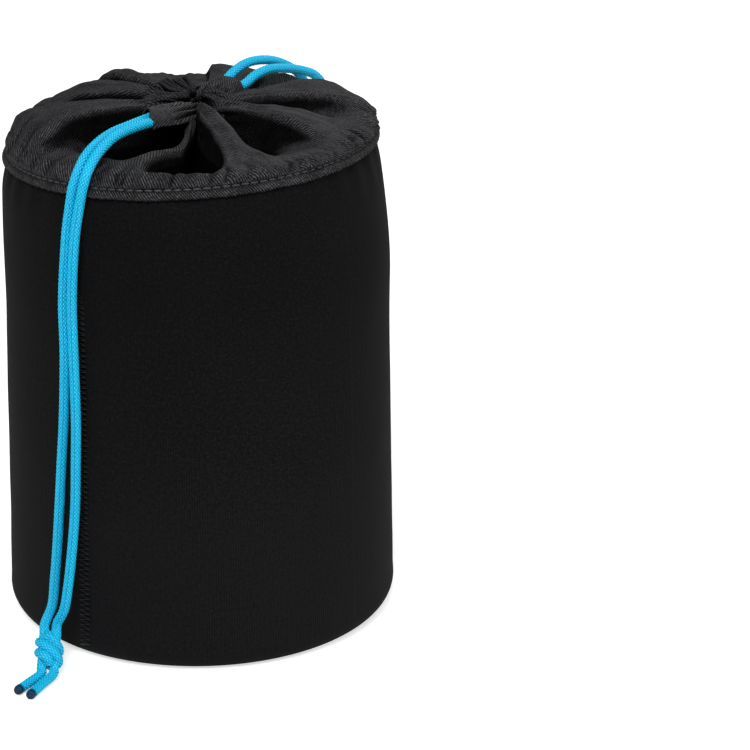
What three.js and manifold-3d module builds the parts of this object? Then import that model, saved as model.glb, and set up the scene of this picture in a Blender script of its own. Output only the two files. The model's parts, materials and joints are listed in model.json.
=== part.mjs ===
// Drawstring lens pouch: a neoprene tube with a sewn-in base, a twill collar gathered shut over the mouth,
// and two braided cords that run in the collar's hem and leave it at the front and at the back.
// Millimetres, +Z up. The origin is the middle of the base, on the table. The front cord hangs at -Y.
import * as THREE from 'three';
import { mergeVertices } from 'three/addons/utils/BufferGeometryUtils.js';
import Module from 'manifold-3d';

// Neoprene body
const topRadius = 60; // outside, where the collar laps over
const baseRadius = 63; // outside, just above the base
const neopreneHeight = 156.5; // table to the top edge under the collar
const neoprene = 4.5; // sheet thickness
const cornerRadius = 7; // round of the bottom edge
const turnIn = 4; // flat rim that the panel turns under the pouch
const shoulderHeight = 14; // top stretch that the gathers draw in
const shoulderDraw = 2.5; // how far they draw it in
const buttGap = 0.4; // slit between the butted edges of the panel

// Thread
const threadRadius = 0.3;
const seamAngle = -85; // degrees round from +X, just beside the front cord
const zigzagWidth = 3.2;
const zigzagPitch = 4; // one full zigzag
const zigzagTopClear = 9; // below the collar
const zigzagFootClear = 4.5; // above the round of the bottom edge

// Twill collar
const twill = 0.8;
const bandLap = 4; // how far the collar laps down over the neoprene
const bandRise = 2.2; // of the collar's band above the neoprene
const stitchRise = 3.2; // topstitch line above the collar's lower edge
const goreCount = 8;
const foldTurn = 13.5; // degrees from the front to the ridge of the first fold
const rimInset = 0.5; // from the neoprene's outside to the edge of the gathered sheet
const mouthRadius = 7; // of the gathered mouth
const ridgeRise = 9.5; // of a fold's ridge above the rim
const exitRidgeRise = 3.8; // of the two ridges where the cords leave
const ridgeTurn = 27; // from the rim to where a ridge runs level
const ridgeSag = 2; // of a ridge from there to the mouth
const pocketLip = 1; // fall of a pocket over the neoprene's edge
const pocketDrop = 12; // of a pocket's floor below the rim
const pocketTurn = 18; // from the neoprene's edge to where a pocket runs level
const ridgeFlat = 0.55; // share of a fold that is flat on top at the mouth, where the folds are tightest
const tuckStart = 16; // degrees from a ridge to the line where the tuck begins
const hemDepth = 13; // of the hem round the mouth
const hemPlies = 3; // half thicknesses of twill above the middle of the sheet, in the hem
const casingHeight = 4.2; // clear height of the casing where the cords leave
const casingSpan = 28; // degrees round the mouth
const exitWidth = 13; // of the slit where a cord leaves the casing
const exitTurn = -9; // degrees from the ridge to that slit

// Cords
const cordRadius = 1.5;
const knotLength = 12;
const knotRadius = 4.6;
const knotWaist = 0.62; // the waist between the two wraps, as a share of the radius
const knotSlope = 40; // degrees that a knot slopes down to the table
const knotTurn = 36; // degrees that it turns aside from the pouch's radius
const strandSpread = 1.9; // from the middle of a knot to each strand

// Clearance between pieces that touch
const gap = 0.3;

// Facets
const roundSteps = 48;
const cordSides = 8;
const threadSides = 5;
const knotSides = 16;
const stepsPerPoint = 2;

const rad = THREE.MathUtils.degToRad;
const clamp = THREE.MathUtils.clamp;
const foldAngle = 180 / goreCount; // degrees from a ridge to a pocket
const oversize = 4; // cutting bodies reach this many times past what they cut

const wasm = await Module();
wasm.setup();

const materials = {
  neoprene: new THREE.MeshStandardMaterial({ color: 0x1d1d20, roughness: 0.85 }),
  twill: new THREE.MeshStandardMaterial({ color: 0x18181b, roughness: 0.7 }),
  thread: new THREE.MeshStandardMaterial({ color: 0x0d0d0f, roughness: 0.6 }),
  cord: new THREE.MeshStandardMaterial({ color: 0x17a2dc, roughness: 0.55 }),
  cordEnd: new THREE.MeshStandardMaterial({ color: 0x0a5f9e, roughness: 0.4 }),
};

const pouch = new THREE.Group();

function addPiece(name, geometry, material, parent = pouch) {
  const mesh = new THREE.Mesh(geometry, material);
  mesh.name = name;
  parent.add(mesh);
  return mesh;
}

// Booleans on closed meshes
function toSolid(geometry) {
  const bare = geometry.clone();
  bare.deleteAttribute('normal');
  bare.deleteAttribute('uv');
  const merged = mergeVertices(bare, 1e-4);
  const mesh = new wasm.Mesh({
    numProp: 3,
    vertProperties: new Float32Array(merged.attributes.position.array),
    triVerts: new Uint32Array(merged.index.array),
  });
  return new wasm.Manifold(mesh);
}

function fromSolid(solid) {
  const mesh = solid.getMesh();
  const geometry = new THREE.BufferGeometry();
  geometry.setAttribute('position', new THREE.BufferAttribute(mesh.vertProperties, 3));
  geometry.setIndex(new THREE.BufferAttribute(mesh.triVerts, 1));
  geometry.computeVertexNormals();
  return geometry;
}

// A closed outline of [radius, height] points turned round Z
function revolve(outline, steps = roundSteps) {
  const points = outline.map(([r, z]) => new THREE.Vector2(r, z));
  if (THREE.ShapeUtils.isClockWise(points)) {
    points.reverse();
  }
  points.push(points[0].clone());
  return new THREE.LatheGeometry(points, steps).rotateX(Math.PI / 2);
}

function arc(centreX, centreY, radius, from, to, count) {
  const at = (i) => rad(from + ((to - from) * i) / count);
  return Array.from({ length: count + 1 }, (_, i) => [
    centreX + radius * Math.cos(at(i)),
    centreY + radius * Math.sin(at(i)),
  ]);
}

function polygon(points) {
  return new THREE.Shape(points.map(([x, y]) => new THREE.Vector2(x, y)));
}

// A flat outline in the radius-height plane, given thickness across that plane
function plate(shape, thickness) {
  const geometry = new THREE.ExtrudeGeometry(shape, { depth: thickness, bevelEnabled: false });
  return geometry.translate(0, 0, -thickness / 2).rotateX(Math.PI / 2);
}

// A round section, left open so that its outline closes by itself
function section(centreX, centreY, radius, sides) {
  return arc(centreX, centreY, radius, 0, 360 - 360 / sides, sides - 1);
}

function tube(points, radius, sides) {
  const path = new THREE.CatmullRomCurve3(points.map((p) => new THREE.Vector3(...p)), false, 'centripetal');
  const steps = points.length * stepsPerPoint;
  const outline = polygon(section(0, 0, radius, sides));
  return new THREE.ExtrudeGeometry(outline, { steps, extrudePath: path, bevelEnabled: false });
}

// Outside of the neoprene at a height
function wallRadius(z) {
  const shoulder = neopreneHeight - shoulderHeight;
  const straight = baseRadius + ((topRadius - baseRadius) * Math.min(z, shoulder)) / shoulder;
  const drawn = Math.max(0, z - shoulder) / shoulderHeight;
  return straight - shoulderDraw * drawn * drawn;
}

// Body panel: the tube wall, turned under at the bottom, slit at the butt seam
const footRadius = baseRadius - cornerRadius - turnIn;
const shoulderSteps = [0, 0.5, 1].map((t) => neopreneHeight - shoulderHeight * (1 - t));
const bodyOutline = [
  [footRadius, 0],
  ...arc(baseRadius - cornerRadius, cornerRadius, cornerRadius, -90, 0, 4),
  ...shoulderSteps.map((z) => [wallRadius(z), z]),
  ...shoulderSteps.map((z) => [wallRadius(z) - neoprene, z]).reverse(),
  ...arc(baseRadius - cornerRadius, cornerRadius, cornerRadius - neoprene, 0, -90, 3),
  [footRadius, neoprene],
];
const slit = new THREE.BoxGeometry(2 * baseRadius, buttGap, 2 * neopreneHeight);
slit.translate(baseRadius, 0, neopreneHeight / 2).rotateZ(rad(seamAngle));
addPiece('body_panel', fromSolid(toSolid(revolve(bodyOutline)).subtract(toSolid(slit))), materials.neoprene);

// Base disc and the bead of seam thread that holds it, inside in the corner
const discRadius = footRadius - gap;
const discOutline = [[0, 0], [discRadius, 0], [discRadius, neoprene], [0, neoprene]];
addPiece('base_disc', revolve(discOutline), materials.neoprene);
const beadHeight = neoprene + gap + threadRadius;
const baseBead = section(discRadius, beadHeight, threadRadius, threadSides);
addPiece('base_seam_thread', revolve(baseBead), materials.thread);

// Zigzag over the butt seam
const seamTop = neopreneHeight - bandLap - zigzagTopClear;
const seamBottom = cornerRadius + zigzagFootClear;
const zigzagTurns = Math.floor((seamTop - seamBottom) / (zigzagPitch / 2));
const zigzag = Array.from({ length: zigzagTurns + 1 }, (_, i) => {
  const z = seamBottom + (i * zigzagPitch) / 2;
  const side = ((i % 2 ? 1 : -1) * zigzagWidth) / 2;
  return [wallRadius(z) + gap + threadRadius, side, z];
});
const seamGroup = new THREE.Group();
seamGroup.rotation.z = rad(seamAngle);
pouch.add(seamGroup);
addPiece('side_seam_thread', tube(zigzag, threadRadius, threadSides), materials.thread, seamGroup);

// Collar band: laps over the neoprene's outside and stands up past its edge
const bandFoot = neopreneHeight - bandLap;
const bandTop = neopreneHeight + bandRise;
const bandSteps = [bandFoot, (bandFoot + neopreneHeight) / 2, neopreneHeight, bandTop];
const bandOut = (z) => wallRadius(z) + gap;
const collarBand = [
  ...bandSteps.map((z) => [bandOut(z) + twill, z]),
  ...bandSteps.map((z) => [bandOut(z), z]).reverse(),
];
addPiece('collar_band', revolve(collarBand), materials.twill);

const stitchHeight = bandFoot + stitchRise;
const stitchRadius = bandOut(stitchHeight) + twill + gap + threadRadius;
const topstitch = section(stitchRadius, stitchHeight, threadRadius, threadSides);
addPiece('collar_topstitch', revolve(topstitch), materials.thread);

// Gathered sheet: ridges and pockets that start level at the rim and meet at the mouth
const rimRadius = wallRadius(neopreneHeight) - rimInset;
const rimHeight = bandTop + gap + twill;
const pocketEdge = wallRadius(neopreneHeight) - neoprene - gap;
const hemRadius = mouthRadius + hemDepth;

function ridgeHeight(radius, rise) {
  const level = rimRadius - ridgeTurn;
  const outer = clamp((radius - level) / ridgeTurn, 0, 1);
  const inner = clamp((level - radius) / level, 0, 1);
  return rimHeight + rise * (1 - outer ** 3) - ridgeSag * inner ** 2;
}

function pocketHeight(radius) {
  const lip = clamp((rimRadius - radius) / (rimRadius - pocketEdge), 0, 1);
  const outer = clamp((radius - pocketEdge + pocketTurn) / pocketTurn, 0, 1);
  return rimHeight - pocketLip * lip - (pocketDrop - pocketLip) * (1 - outer ** 3);
}

// A point of the sheet: across runs from the ridge, 0, to the pockets on both sides, -1 and 1
function onSheet(radius, across, rise) {
  const flat = ridgeFlat * (1 - radius / rimRadius);
  const fall = THREE.MathUtils.smoothstep(Math.abs(across), flat, 1);
  const height = THREE.MathUtils.lerp(ridgeHeight(radius, rise), pocketHeight(radius), fall);
  const turn = rad(foldAngle * across);
  return new THREE.Vector3(radius * Math.cos(turn), radius * Math.sin(turn), height);
}

// The sheet's upward normal, from points close by
function sheetNormal(radius, across, rise) {
  const near = 1e-3;
  const inward = onSheet(radius - near, across, rise).sub(onSheet(radius + near, across, rise));
  const sideways = onSheet(radius, across + near, rise).sub(onSheet(radius, across - near, rise));
  return sideways.cross(inward).normalize();
}

// One fold of the sheet, from pocket to pocket, doubled into a hem round the mouth
function foldedSheet(rise) {
  const rows = 9;
  const columns = 10;
  const points = [];
  for (const side of [1, -1]) {
    for (let i = 0; i <= rows; i += 1) {
      const radius = THREE.MathUtils.lerp(rimRadius, mouthRadius, (i / rows) ** 1.4);
      const plies = side > 0 && radius < hemRadius ? hemPlies : 1;
      for (let j = 0; j <= columns; j += 1) {
        const across = (2 * j) / columns - 1;
        const normal = sheetNormal(radius, across, rise);
        points.push(onSheet(radius, across, rise).addScaledVector(normal, (side * plies * twill) / 2));
      }
    }
  }
  const wide = columns + 1;
  const under = (rows + 1) * wide;
  const faces = [];
  const quad = (a, b, c, d) => faces.push(a, b, c, a, c, d);
  for (let i = 0; i < rows; i += 1) {
    for (let j = 0; j < columns; j += 1) {
      const at = i * wide + j;
      quad(at, at + 1, at + wide + 1, at + wide);
      quad(under + at, under + at + wide, under + at + wide + 1, under + at + 1);
    }
    const left = i * wide;
    const right = left + columns;
    quad(left, left + wide, under + left + wide, under + left);
    quad(right, under + right, under + right + wide, right + wide);
  }
  for (let j = 0; j < columns; j += 1) {
    const inner = rows * wide + j;
    quad(j, under + j, under + j + 1, j + 1);
    quad(inner, inner + 1, under + inner + 1, under + inner);
  }
  const geometry = new THREE.BufferGeometry().setFromPoints(points);
  geometry.setIndex(faces);
  return geometry;
}

// The upright space between two angles round Z, drawn in by half the clearance on both sides
function sector(from, to) {
  const middle = rad((from + to) / 2);
  const half = rad((to - from) / 2);
  const tip = gap / 2 / Math.sin(half);
  const far = oversize * rimRadius;
  const corners = [[tip, 0], [far, (far - tip) * -Math.tan(half)], [far, (far - tip) * Math.tan(half)]];
  const upright = { depth: oversize * rimHeight, bevelEnabled: false };
  return toSolid(new THREE.ExtrudeGeometry(polygon(corners), upright).rotateZ(middle));
}

// Casing over an exit ridge: a flat tube of twill, slit on its outer side for the two strands of a cord
function casing() {
  const floor = ridgeHeight(hemRadius, exitRidgeRise) + twill;
  const top = floor + casingHeight;
  const outside = [[mouthRadius, floor - twill], [hemRadius, floor - twill], [hemRadius, top + twill]];
  const inside = [[mouthRadius + twill, floor], [hemRadius - twill, floor], [hemRadius - twill, top]];
  const shape = polygon([...outside, [mouthRadius, top + twill]]);
  shape.holes.push(polygon([...inside, [mouthRadius + twill, top]]));
  const exitSide = hemRadius * Math.tan(rad(exitTurn));
  const exit = new THREE.BoxGeometry(oversize * twill, exitWidth, casingHeight);
  exit.translate(hemRadius, exitSide, floor + casingHeight / 2);
  const sleeve = toSolid(plate(shape, 2 * hemRadius)).intersect(sector(-casingSpan / 2, casingSpan / 2));
  return sleeve.subtract(toSolid(exit));
}

for (let i = 0; i < goreCount; i += 1) {
  const turn = new THREE.Group();
  turn.rotation.z = rad(-90 + foldTurn + 2 * foldAngle * i);
  pouch.add(turn);
  const hasExit = i === 0 || i === goreCount / 2;
  const sheet = toSolid(foldedSheet(hasExit ? exitRidgeRise : ridgeRise));
  const gore = sheet.intersect(sector(-tuckStart, tuckStart));
  addPiece(`collar_gore_${i + 1}`, fromSolid(hasExit ? gore.add(casing()) : gore), materials.twill, turn);
  const right = sheet.intersect(sector(tuckStart, foldAngle));
  addPiece(`collar_tuck_${i + 1}_right`, fromSolid(right), materials.twill, turn);
  const left = sheet.intersect(sector(-foldAngle, -tuckStart));
  addPiece(`collar_tuck_${i + 1}_left`, fromSolid(left), materials.twill, turn);
}

// Cords: each strand leaves the casing, crosses the collar to the shoulder and drops to the knot on the table
const frontCord = {
  left_top: [
    [-0.6, -16.6, 166.2], [-0.5, -20, 166], [0.5, -31, 165.9], [1.6, -41.5, 165.7], [3, -50, 164.4],
    [4.4, -56.4, 162.3], [5, -60.1, 159.2], [4, -61.7, 154.3], [2.9, -61.9, 149.2],
  ],
  right_top: [
    [3.1, -18.2, 166], [3.2, -22, 165.9], [4.1, -34.5, 166.3], [5.3, -44, 166], [6.9, -51.5, 164.4],
    [8, -57, 162], [8.4, -60.3, 158.9], [7.3, -61.4, 153.8], [6.2, -61.5, 149.2],
  ],
  left_drop: [
    [2.9, -61.9, 148.8], [1.9, -62.7, 141], [1.3, -63.1, 134], [0, -63.4, 118], [0.3, -63.8, 102],
    [-0.7, -64.2, 80], [-1.9, -64.5, 66], [-2.9, -65, 52], [-3.4, -66.2, 38], [-3.7, -67.6, 27],
    [-4, -68.9, 18.5],
  ],
  right_drop: [
    [6.2, -61.5, 148.8], [5.2, -62.6, 141], [4.6, -63.1, 134], [3.5, -63.4, 118], [3.9, -63.8, 103],
    [4.2, -64.1, 80], [3.9, -64.5, 66], [3.5, -65, 52], [2.7, -66.2, 38], [2, -67.6, 27], [1, -68.9, 18.5],
  ],
};
const rearCord = {
  left_top: [
    [-0.2, -16.4, 166.7], [-0.3, -19.6, 166.6], [-0.4, -24, 167.3], [-0.6, -29, 169.1],
    [-0.8, -35.6, 169.8], [-1.1, -44.4, 168.4], [-1.3, -53, 166], [-1.5, -59.2, 163.2], [-1.6, -63, 159.4],
    [-1.7, -63.8, 154.4], [-1.7, -63.6, 149.2],
  ],
  right_top: [
    [5.2, -15.6, 166.8], [5.6, -18.6, 166.7], [6.2, -22, 167.5], [6.3, -26, 169.4], [6.2, -31, 171],
    [6, -37, 171.3], [5.8, -45.5, 169.8], [5.5, -52.5, 167], [5.2, -57.6, 163.9], [5, -61.6, 159.8],
    [5, -63, 154.4], [5, -63, 149.2],
  ],
  left_drop: [
    [-1.7, -63.6, 148.8], [-1.6, -63.3, 120], [-1.9, -64.1, 80], [-2.6, -64.9, 50], [-3.2, -66.7, 34],
    [-3, -68.2, 22],
  ],
  right_drop: [
    [5, -63, 148.8], [3.6, -63.3, 125], [2.6, -64, 90], [2.4, -64.9, 50], [2.2, -66.7, 34], [2, -68.2, 22],
  ],
};
const knotHead = [-1.7, -72.6, 11.2]; // where the strands go in
const upward = new THREE.Vector3(0, 0, 1);
const sealedEnds = {
  left: [[3.4, -88, 1.9], [4, -94.4, 1.7]],
  right: [[7.4, -87, 1.9], [9.2, -94.4, 1.7]],
};

// A point beside the knot's axis, so far along it from the head towards the table
function onKnot(side, along) {
  const across = side.startsWith('left') ? -strandSpread : strandSpread;
  const out = along * Math.cos(rad(knotSlope));
  const point = new THREE.Vector3(across, -out, -along * Math.sin(rad(knotSlope)));
  return point.applyAxisAngle(upward, rad(knotTurn)).add(new THREE.Vector3(...knotHead)).toArray();
}

// Overhand knot: a barrel with two bulging wraps along the line from head to foot
function knot() {
  const rings = 8;
  const side = Array.from({ length: rings }, (_, i) => {
    const along = (i + 0.5) / rings;
    const bulge = knotWaist + (1 - knotWaist) * Math.abs(Math.sin(2 * Math.PI * along));
    return [knotRadius * bulge, -knotLength * along];
  });
  const barrel = revolve([[0, 0], ...side, [0, -knotLength]], knotSides);
  return barrel.rotateX(rad(knotSlope - 90)).rotateZ(rad(knotTurn)).translate(...knotHead);
}

function addCord(side, routes, turn) {
  const group = new THREE.Group();
  group.rotation.z = turn;
  pouch.add(group);
  for (const [strand, points] of Object.entries(routes)) {
    const intoKnot = strand.endsWith('drop') ? [onKnot(strand, -2 * cordRadius), onKnot(strand, -gap)] : [];
    const route = [...points, ...intoKnot];
    addPiece(`${side}_cord_${strand}`, tube(route, cordRadius, cordSides), materials.cord, group);
  }
  addPiece(`${side}_cord_knot`, knot(), materials.cord, group);
  for (const [strand, points] of Object.entries(sealedEnds)) {
    const route = [onKnot(strand, knotLength + gap), onKnot(strand, knotLength + cordRadius), ...points];
    addPiece(`${side}_cord_${strand}_end`, tube(route, cordRadius, cordSides), materials.cordEnd, group);
  }
}

addCord('front', frontCord, 0);
addCord('rear', rearCord, Math.PI);

export default pouch;
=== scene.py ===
# %% [markdown]
# # A drawstring lens pouch
# A tube of black neoprene stands on a sewn-in round base. A collar of black twill is sewn round its top edge and
# gathered shut over the mouth by two bright blue braided cords, one at the front and one at the back.
# The imported solids are the fixed frame of this scene: every piece made here lies where its solid lies and shows
# what the plain solid leaves out, such as weave, stitches, creases and braid. The shells and stitches of the pouch,
# the hem fans, the casings and the knots with their ends also ride on its moving bodies.

# %% Load the frame
import json
import math

import bpy
import numpy as np
from mathutils import Matrix, Vector, noise

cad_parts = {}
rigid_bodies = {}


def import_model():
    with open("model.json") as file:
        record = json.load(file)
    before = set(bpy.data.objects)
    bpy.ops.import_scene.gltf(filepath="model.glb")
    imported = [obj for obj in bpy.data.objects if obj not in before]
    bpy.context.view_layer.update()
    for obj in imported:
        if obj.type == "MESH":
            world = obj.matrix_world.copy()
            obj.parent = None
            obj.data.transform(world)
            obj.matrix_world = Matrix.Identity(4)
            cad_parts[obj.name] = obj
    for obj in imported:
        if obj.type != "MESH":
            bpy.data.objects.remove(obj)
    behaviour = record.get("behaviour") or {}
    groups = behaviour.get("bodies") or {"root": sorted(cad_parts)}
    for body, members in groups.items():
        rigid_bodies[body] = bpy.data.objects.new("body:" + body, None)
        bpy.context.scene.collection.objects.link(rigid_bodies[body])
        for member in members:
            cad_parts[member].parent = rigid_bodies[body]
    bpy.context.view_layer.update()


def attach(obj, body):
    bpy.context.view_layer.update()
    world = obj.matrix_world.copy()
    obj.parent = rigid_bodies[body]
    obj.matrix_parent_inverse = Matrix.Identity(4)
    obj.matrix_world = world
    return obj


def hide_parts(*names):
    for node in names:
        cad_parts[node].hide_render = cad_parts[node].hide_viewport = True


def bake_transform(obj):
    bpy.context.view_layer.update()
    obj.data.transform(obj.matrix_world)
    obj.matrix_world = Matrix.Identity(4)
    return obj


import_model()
MM = 0.001
scene = bpy.context.scene

# %% [markdown]
# ## Camera
# The pouch is seen from a little above with a long lens. The camera could be placed by eye, but a long lens hides
# small errors in distance and shows them later as wrong ovals. So its place, aim and slight roll were fitted to the
# outline first and are written here as plain sizes in the pouch's own frame, in millimetres.

# %% Camera
CAMERA_AT = Vector((532.7, -637.0, 387.5))
CAMERA_AIM = Vector((45.6, 33.2, 76.1))
CAMERA_ROLL = math.radians(0.43)
FOCAL_LENGTH = 131.66
SENSOR_WIDTH = 36.0
FAR_CLIP = 20.0

camera_data = bpy.data.cameras.new("camera")
camera_data.lens = FOCAL_LENGTH
camera_data.sensor_width = SENSOR_WIDTH
camera_data.clip_end = FAR_CLIP
camera = bpy.data.objects.new("camera", camera_data)
scene.collection.objects.link(camera)
aim = (CAMERA_AIM - CAMERA_AT).normalized()
camera.rotation_mode = "QUATERNION"
camera.rotation_quaternion = aim.to_track_quat("-Z", "Y") @ Matrix.Rotation(CAMERA_ROLL, 3, "Z").to_quaternion()
camera.location = CAMERA_AT * MM
scene.camera = camera
print("camera:", round((CAMERA_AIM - CAMERA_AT).length), "mm away")

# %% [markdown]
# ## Node trees
# The light, the finishes and the stitches are all node trees. Written out node by node and link by link they would
# fill pages, so one helper adds a node together with its inputs. A small class holds the tree of one finish, and its
# methods let a weave be written down like a formula.

# %% Node helpers


def feed(tree, node, inputs):
    """Gives a node's inputs plain values, or links from the sockets of other nodes."""
    for name, value in inputs.items():
        if isinstance(value, bpy.types.NodeSocket):
            tree.links.new(value, node.inputs[name])
        else:
            node.inputs[name].default_value = value
    return node


def add_node(tree, kind, inputs=None, **settings):
    node = tree.nodes.new(kind)
    for name, choice in settings.items():
        setattr(node, name, choice)
    return feed(tree, node, inputs or {})


class Pattern:
    """The node tree of one finish. Each method adds nodes and hands back the socket with their result."""

    def __init__(self, name):
        self.finish = bpy.data.materials.new(name)
        self.finish.use_nodes = True
        self.tree = self.finish.node_tree

    def node(self, kind, output, inputs=None, **settings):
        return add_node(self.tree, kind, inputs, **settings).outputs[output]

    def math(self, operation, *values):
        return self.node("ShaderNodeMath", 0, dict(enumerate(values)), operation=operation)

    def times(self, *values):
        return self.math("MULTIPLY", *values)

    def mix(self, *parts):
        """The sum of some sockets, each times its share."""
        total, *others = [self.times(socket, share) for socket, share in parts]
        for part in others:
            total = self.math("ADD", total, part)
        return total

    def wave(self, phase):
        """A value from 0 to 1 that goes up and down once for each whole number of phase."""
        return self.math("MULTIPLY_ADD", self.math("SINE", self.times(phase, 2 * math.pi)), 0.5, 0.5)

    def noise(self, where, scale, detail=2.0, roughness=0.5):
        inputs = {"Vector": where, "Scale": scale, "Detail": detail, "Roughness": roughness}
        return self.node("ShaderNodeTexNoise", "Fac", inputs)

    def ramp(self, value, low, high):
        """A colour between two others."""
        node = add_node(self.tree, "ShaderNodeValToRGB", {"Fac": value})
        for element, colour in zip(node.color_ramp.elements, (low, high)):
            element.color = (*colour, 1.0)
        return node.outputs["Color"]

    def span(self, value, low, high, start=0.0, end=1.0):
        """A value from low to high while another goes from start to end."""
        inputs = {"Value": value, "From Min": start, "From Max": end, "To Min": low, "To Max": high}
        return self.node("ShaderNodeMapRange", "Result", inputs)

    def bump(self, height, strength, distance):
        return self.node("ShaderNodeBump", "Normal", {"Height": height, "Strength": strength, "Distance": distance})

    def cloth(self):
        """The piece's UV map, in millimetres of cloth, whole and split into across and along."""
        uv = self.node("ShaderNodeUVMap", "UV", uv_map="cloth")
        split = add_node(self.tree, "ShaderNodeSeparateXYZ", {"Vector": uv}).outputs
        return uv, split["X"], split["Y"]

    def finished(self, inputs):
        """Feeds the shader and gives the finish."""
        feed(self.tree, self.tree.nodes["Principled BSDF"], inputs)
        return self.finish


# %% [markdown]
# ## Stage and light
# Black cloth needs large soft lamps: small ones leave it without any shape. A tall lamp stands at each side to draw
# the edges of the tube. The strongest one hangs high in front, where it lights the straps of the collar and can't
# reach down into the pockets between them, and one behind grazes the far folds.
# The floor and the world show as white to the camera alone, so the background costs the pouch no extra light.

# %% Stage and light
WHITE = (1.0, 1.0, 1.0, 1.0)
WORLD_LIGHT = 0.012
FLOOR_HALF = 3.0
FLOOR_COLOUR = (0.86, 0.86, 0.86, 1.0)
FLOOR_ROUGHNESS = 0.9
FLOOR_GLOW = 0.6
LAMPS = {
    "lamp_left": {"place": (-0.95, -0.55, 0.5), "size": (0.5, 0.9), "power": 1.9, "aim_height": 0.1},
    "lamp_right": {"place": (1.05, 0.25, 0.5), "size": (0.5, 0.9), "power": 5.0, "aim_height": 0.1},
    "lamp_top": {"place": (0.4, -0.85, 1.1), "size": (0.7, 0.7), "power": 17.0, "aim_height": 0.16},
    "lamp_back": {"place": (-0.2, 1.0, 0.85), "size": (0.9, 0.6), "power": 5.0, "aim_height": 0.12},
}

scene.view_settings.view_transform = "Standard"
for name, lamp in LAMPS.items():
    lamp_data = bpy.data.lights.new(name, "AREA")
    lamp_data.shape = "RECTANGLE"
    lamp_data.size, lamp_data.size_y = lamp["size"]
    lamp_data.energy = lamp["power"]
    light = bpy.data.objects.new(name, lamp_data)
    light.location = lamp["place"]
    toward = Vector((0.0, 0.0, lamp["aim_height"])) - Vector(lamp["place"])
    light.rotation_euler = toward.to_track_quat("-Z", "Y").to_euler()
    scene.collection.objects.link(light)

world = bpy.data.worlds.new("studio")
scene.world = world
world.use_nodes = True
sky = world.node_tree
rays = add_node(sky, "ShaderNodeLightPath").outputs
seen = add_node(sky, "ShaderNodeMath", {0: rays["Is Camera Ray"], 1: rays["Is Transmission Ray"]}, operation="MAXIMUM")
strength = add_node(sky, "ShaderNodeMapRange", {"Value": seen.outputs[0], "To Min": WORLD_LIGHT, "To Max": 1.0})
feed(sky, sky.nodes["Background"], {"Color": WHITE, "Strength": strength.outputs["Result"]})

floor_white = Pattern("floor_white")
floor_glow = floor_white.times(floor_white.node("ShaderNodeLightPath", "Is Camera Ray"), FLOOR_GLOW)
floor_mesh = bpy.data.meshes.new("floor")
floor_corners = [(x * FLOOR_HALF, y * FLOOR_HALF, 0) for x, y in ((-1, -1), (1, -1), (1, 1), (-1, 1))]
floor_mesh.from_pydata(floor_corners, [], [(0, 1, 2, 3)])
floor_mesh.materials.append(floor_white.finished({
    "Base Color": FLOOR_COLOUR,
    "Roughness": FLOOR_ROUGHNESS,
    "Emission Color": WHITE,
    "Emission Strength": floor_glow,
}))
floor = bpy.data.objects.new("floor", floor_mesh)
scene.collection.objects.link(floor)
print("stage: floor and", len(LAMPS), "lamps")

# %% [markdown]
# ## Finishes
# Each cloth gets its own small node tree. A flat colour with a picture of weave on it would look printed, so the
# weave here is worked out from the piece's own UV map, which is laid out in millimetres of cloth, and it drives
# colour, roughness and bump together. Twill also reads a painted shade from 0 to 1, set where shade falls in folds,
# dents and grooves: there it takes away the cloth's colour and its shine, and below 0 it makes the cloth paler
# and shinier.

# %% Twill finish
TWILL_RIB = 0.74
TWILL_THREAD = 0.55
TWILL_SLOPE = (0.8, 0.6)
TWILL_COLOURS = (0.0006, 0.0006, 0.0007), (0.085, 0.084, 0.092)
FUZZ_LIGHT = 5.7
# Painted shade: how much of the twill's colour and shine the deepest painted shade takes away.
POCKET_PAINTED_SHADE = 0.97


def twill_finish():
    twill = Pattern("black_twill")
    uv, across, along = twill.cloth()
    wander = twill.times(twill.noise(uv, 0.3, 1.0), 0.8)
    slope = twill.mix((across, TWILL_SLOPE[0]), (along, TWILL_SLOPE[1]))
    rib = twill.wave(twill.math("ADD", twill.math("DIVIDE", slope, TWILL_RIB), wander))
    thread = twill.wave(twill.math("DIVIDE", across, TWILL_THREAD))
    weave = twill.mix((rib, 0.75), (thread, 0.25))
    fuzz = twill.math("POWER", twill.noise(uv, 1.1, 3.0, 0.75), 3.0)
    paleness = twill.times(twill.noise(uv, 0.16), 2.0)
    # Painted shade from each piece darkens the colour where shade falls; a value below 0 makes the cloth paler.
    painted_shade_amount = twill.node("ShaderNodeAttribute", "Fac", attribute_name="painted_shade")
    painted_light_share = twill.math("SUBTRACT", 1.0, twill.times(painted_shade_amount, POCKET_PAINTED_SHADE))
    tone = twill.times(twill.math("POWER", weave, 1.6), twill.times(fuzz, FUZZ_LIGHT))
    tone = twill.times(twill.times(tone, painted_light_share), paleness)
    # The painted shade also takes away sheen and specular.
    return twill.finished({
        "Base Color": twill.ramp(tone, *TWILL_COLOURS),
        "Roughness": twill.span(weave, 0.85, 0.6),
        "Normal": twill.bump(weave, 0.55, 0.00022),
        "Sheen Weight": twill.times(painted_light_share, 0.02),
        "Sheen Roughness": 0.45,
        "Specular IOR Level": twill.times(painted_light_share, 0.12),
    })


# %% Neoprene finish
KNIT_WALE = 0.75
KNIT_COURSE = 0.55
NEOPRENE_COLOURS = (0.0002, 0.0002, 0.0002), (0.0079, 0.0076, 0.0082)
# Painted light: how much paler the foot is, and the height in metres where it fades out.
FOOT_PAINTED_LIGHT, PAINTED_LIGHT_HEIGHT = 2.9, 0.12


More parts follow.
